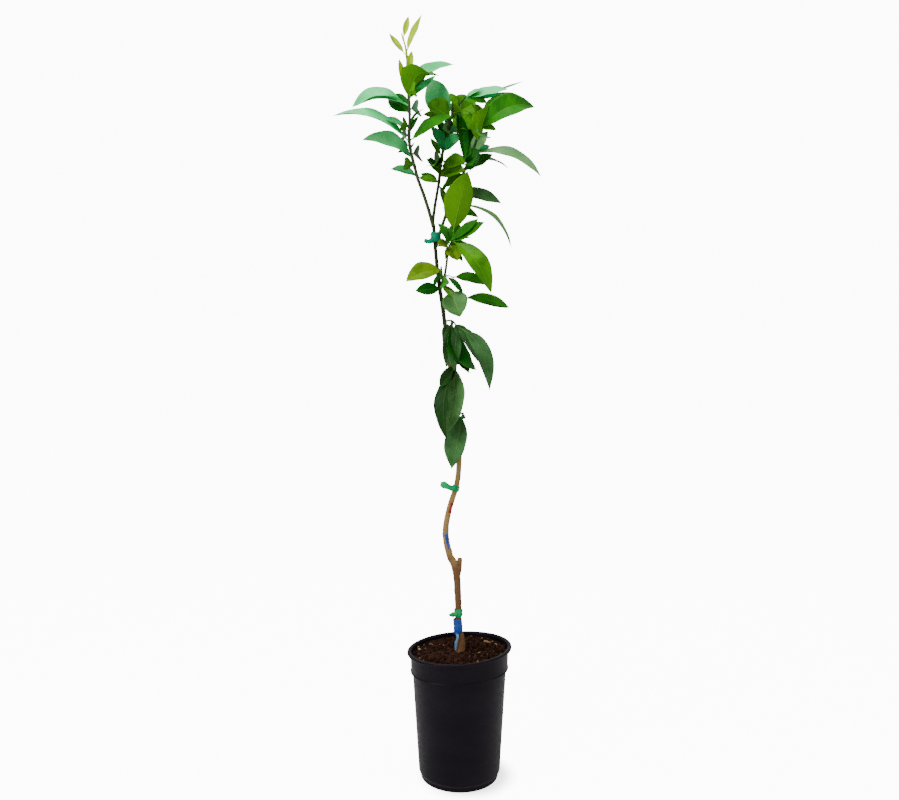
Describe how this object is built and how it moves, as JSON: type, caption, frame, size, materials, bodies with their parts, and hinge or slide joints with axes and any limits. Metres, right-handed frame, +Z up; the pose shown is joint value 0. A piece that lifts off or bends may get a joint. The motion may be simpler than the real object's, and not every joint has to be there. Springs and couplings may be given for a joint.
{
  "type": "potted navelina orange tree",
  "caption": "Young navelina orange tree with a slim grafted stem and sparse glossy leaves, standing in a round black nursery pot of compost.",
  "frame": {"origin": "middle of the pot's flat underside", "axes": "+Z up along the tree, +X to the right as pictured, +Y to the back"},
  "size_m": [0.3738, 0.1987, 1.3781],
  "materials": {
    "pot": "satin near-black nursery plastic",
    "soil": "coarse dark bark compost",
    "bark": "young bark, brown below the graft and olive above",
    "green_bark": "smooth green young bark",
    "leaves": "glossy upper faces and matte undersides",
    "green_tie": "soft green plastic tie",
    "blue_tape": "blue plastic tape"
  },
  "bodies": {
    "root": {"pot": "pot", "soil": "soil", "trunk": "bark", "bough_left": "green_bark", "bough_centre": "green_bark", "bough_right": "green_bark", "bough_low_right": "green_bark", "foliage_left": "leaves", "foliage_centre": "leaves", "foliage_right": "leaves", "foliage_low_right": "leaves", "foliage_front": "leaves", "foliage_hanging": "leaves", "leaf_middle": "leaves", "leaf_low": "leaves", "tie_top": "green_tie", "tie_upper": "green_tie", "tie_middle": "green_tie", "tie_low": "green_tie", "tape_sleeve": "blue_tape"}
  },
  "joints": []
}
